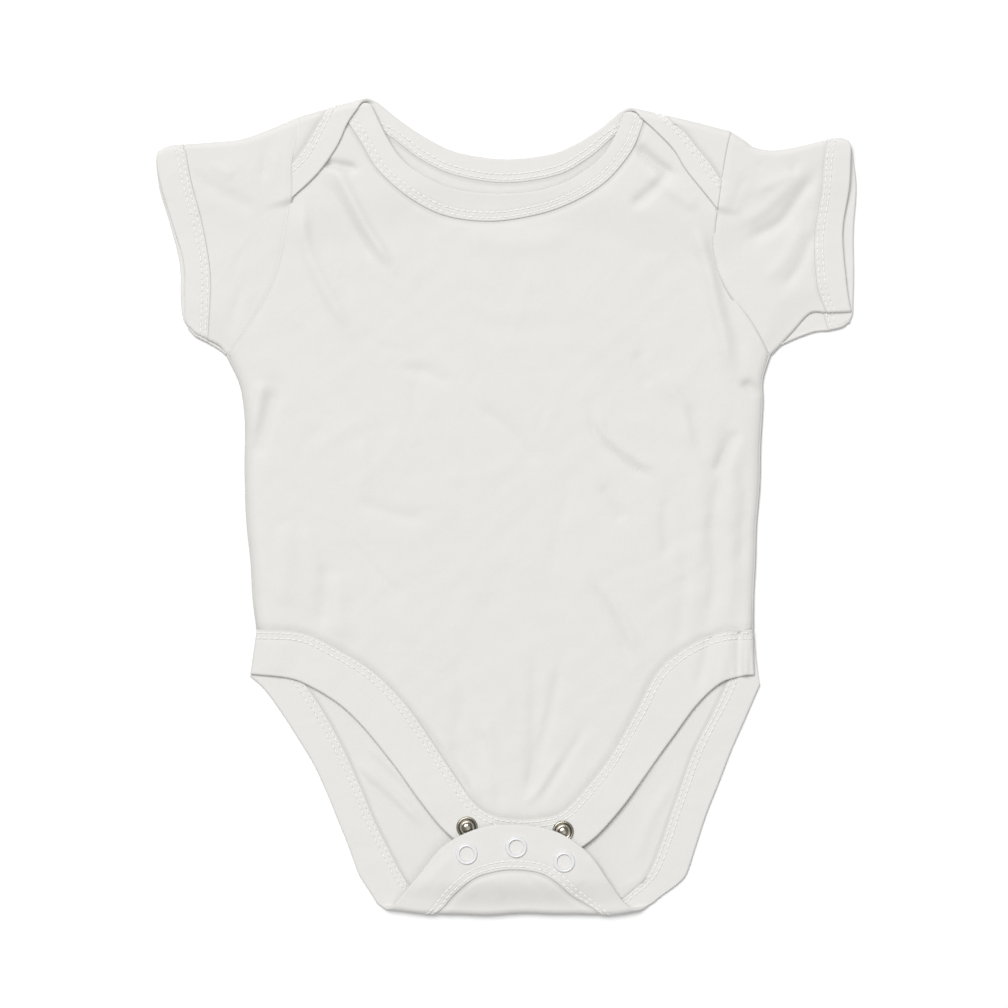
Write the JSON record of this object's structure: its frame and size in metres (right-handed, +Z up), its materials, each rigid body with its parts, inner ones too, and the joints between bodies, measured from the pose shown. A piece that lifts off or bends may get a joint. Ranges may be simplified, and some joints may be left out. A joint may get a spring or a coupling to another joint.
{
  "type": "baby bodysuit",
  "caption": "Short-sleeved cotton jersey baby bodysuit with lap shoulders, bound neck, cuffs and legs, and a snapped crotch, lying flat on its back.",
  "frame": {"origin": "the middle of the surface that the garment lies on, under the middle of its outline", "axes": "+Z up from the surface, through the thin layers; +Y from the crotch to the neck; +X towards the wearer's left"},
  "size_m": [0.3049, 0.3543, 0.0091],
  "materials": {
    "jersey": "off-white single cotton jersey, matte",
    "rib": "off-white folded rib binding with two rows of coverstitch",
    "cap": "white enamelled ring cap",
    "steel": "nickel-plated pressed metal"
  },
  "bodies": {
    "root": {"back_panel": "jersey", "front_panel": "jersey", "sleeve_right": "jersey", "sleeve_left": "jersey", "cuff_right": "rib", "cuff_left": "rib", "neck_binding_back": "rib", "neck_binding_front": "rib", "leg_binding_back": "rib", "leg_binding_front": "rib", "snap_cap_right": "cap", "snap_socket_right": "steel", "snap_stud_right": "steel", "snap_ring_right": "cap", "snap_cap_middle": "cap", "snap_socket_middle": "steel", "snap_stud_middle": "steel", "snap_ring_middle": "cap", "snap_cap_left": "cap", "snap_socket_left": "steel", "snap_stud_left": "steel", "snap_ring_left": "cap"}
  },
  "joints": []
}
